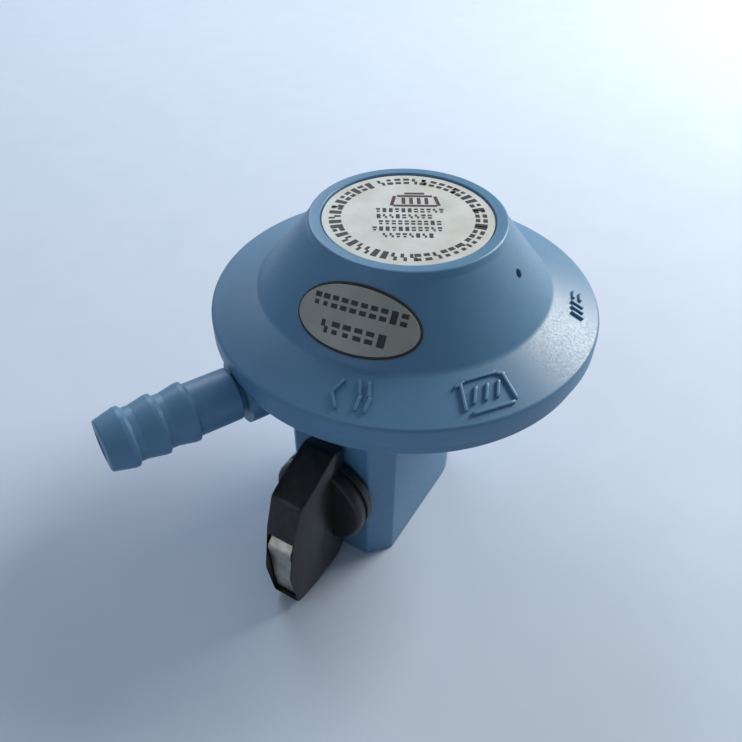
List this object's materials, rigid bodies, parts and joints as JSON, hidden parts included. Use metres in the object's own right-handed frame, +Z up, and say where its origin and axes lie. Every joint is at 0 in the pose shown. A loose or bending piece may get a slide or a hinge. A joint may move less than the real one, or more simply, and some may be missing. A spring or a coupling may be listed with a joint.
{
  "type": "gas pressure regulator",
  "caption": "Low-pressure gas regulator: round diaphragm housing with a conical cover, a barbed hose tail, and a clip-on coupling worked by a quarter-turn side knob with a press catch.",
  "frame": {"origin": "middle of the coupling's mouth, on the bottom face that the regulator rests on", "axes": "+Z up along the coupling and diaphragm axis; -X along the hose tail, away from the housing"},
  "size_m": [0.1118, 0.084, 0.0733],
  "materials": {
    "casting": "die-cast zinc alloy with satin grey-blue enamel",
    "label_foil": "printed self-adhesive foil",
    "black_plastic": "moulded acetal, lightly textured",
    "nickel_plate": "nickel-plated die casting, worn",
    "zinc_steel": "pressed or turned steel, zinc plated",
    "spring_steel": "drawn spring wire",
    "ground_steel": "turned and ground steel",
    "brass": "turned brass",
    "sintered_bronze": "sintered bronze",
    "black_rubber": "nitrile rubber"
  },
  "bodies": {
    "housing": {"lower_body": "casting", "top_cover": "casting", "nameplate": "label_foil", "badge": "label_foil", "cover_cap": "black_plastic", "spring_adjuster": "brass", "cover_screws": "zinc_steel", "vent_screen": "sintered_bronze", "main_spring": "spring_steel", "diaphragm": "black_rubber", "lever_pin": "ground_steel", "nozzle": "brass", "nozzle_o_ring": "black_rubber", "flow_seat": "brass", "flow_spring": "spring_steel", "inlet_filter": "sintered_bronze", "hose_tail": "casting", "tail_o_ring": "black_rubber", "base_plate": "casting", "base_screws": "zinc_steel", "inlet_seal": "black_rubber", "plunger_spring": "spring_steel", "spindle_gland": "brass", "gland_o_ring": "black_rubber", "spindle_o_ring": "black_rubber", "spindle_bush": "brass"},
    "knob_group": {"knob": "black_plastic", "knob_screw": "zinc_steel", "spindle": "ground_steel", "cam": "ground_steel", "cam_clip": "zinc_steel", "catch_spring": "spring_steel"},
    "catch": {"catch_button": "nickel_plate"},
    "plunger_pin": {"plunger": "brass"},
    "lock": {"lock_fork": "zinc_steel"},
    "diaphragm_stack": {"diaphragm_plate": "zinc_steel", "lower_washer": "zinc_steel", "diaphragm_stem": "brass", "stem_nut": "zinc_steel"},
    "lever_arm": {"lever": "zinc_steel"},
    "valve": {"valve_carrier": "brass", "valve_pad": "black_rubber"},
    "excess_flow": {"flow_poppet": "brass"}
  },
  "joints": [
    {"name": "knob_turn", "type": "hinge", "parent": "housing", "child": "knob_group", "pos_m": [0, 0, 0.02], "axis": [-0.8988, -0.4384, 0], "range_deg": [0, 90]},
    {"name": "catch_press", "type": "slide", "parent": "knob_group", "child": "catch", "axis": [0.8988, 0.4384, 0], "range_m": [0, 0.0016], "stiffness_N_per_m": 400, "springref_m": -0.002, "deforming": ["catch_spring"]},
    {"name": "plunger_drop", "type": "slide", "parent": "housing", "child": "plunger_pin", "axis": [0, 0, -1], "range_m": [0, 0.0024], "deforming": ["plunger_spring"]},
    {"name": "fork_slide", "type": "slide", "parent": "housing", "child": "lock", "axis": [0.8988, 0.4384, 0], "range_m": [0, 0.0032]},
    {"name": "diaphragm_lift", "type": "slide", "parent": "housing", "child": "diaphragm_stack", "axis": [0, 0, 1], "range_m": [0, 0.0024], "stiffness_N_per_m": 1200, "springref_m": -0.002, "deforming": ["main_spring", "diaphragm"]},
    {"name": "lever_tilt", "type": "hinge", "parent": "housing", "child": "lever_arm", "pos_m": [0.00854, 0.00417, 0.0457], "axis": [-0.4384, 0.8988, 0], "range_deg": [0, 14.6]},
    {"name": "valve_close", "type": "slide", "parent": "housing", "child": "valve", "axis": [0, 0, -1], "range_m": [0, 0.0009]},
    {"name": "flow_lift", "type": "slide", "parent": "housing", "child": "excess_flow", "axis": [0, 0, 1], "range_m": [0, 0.0012], "stiffness_N_per_m": 60, "springref_m": -0.001, "deforming": ["flow_spring"]}
  ],
  "couplings": [
    {"joint": "plunger_drop", "follows": "knob_turn", "m_per_rad": 0.0015279},
    {"joint": "fork_slide", "follows": "knob_turn", "m_per_rad": 0.0020372},
    {"joint": "lever_tilt", "follows": "diaphragm_lift", "rad_per_m": 105.26},
    {"joint": "valve_close", "follows": "diaphragm_lift", "ratio": 0.36842}
  ]
}
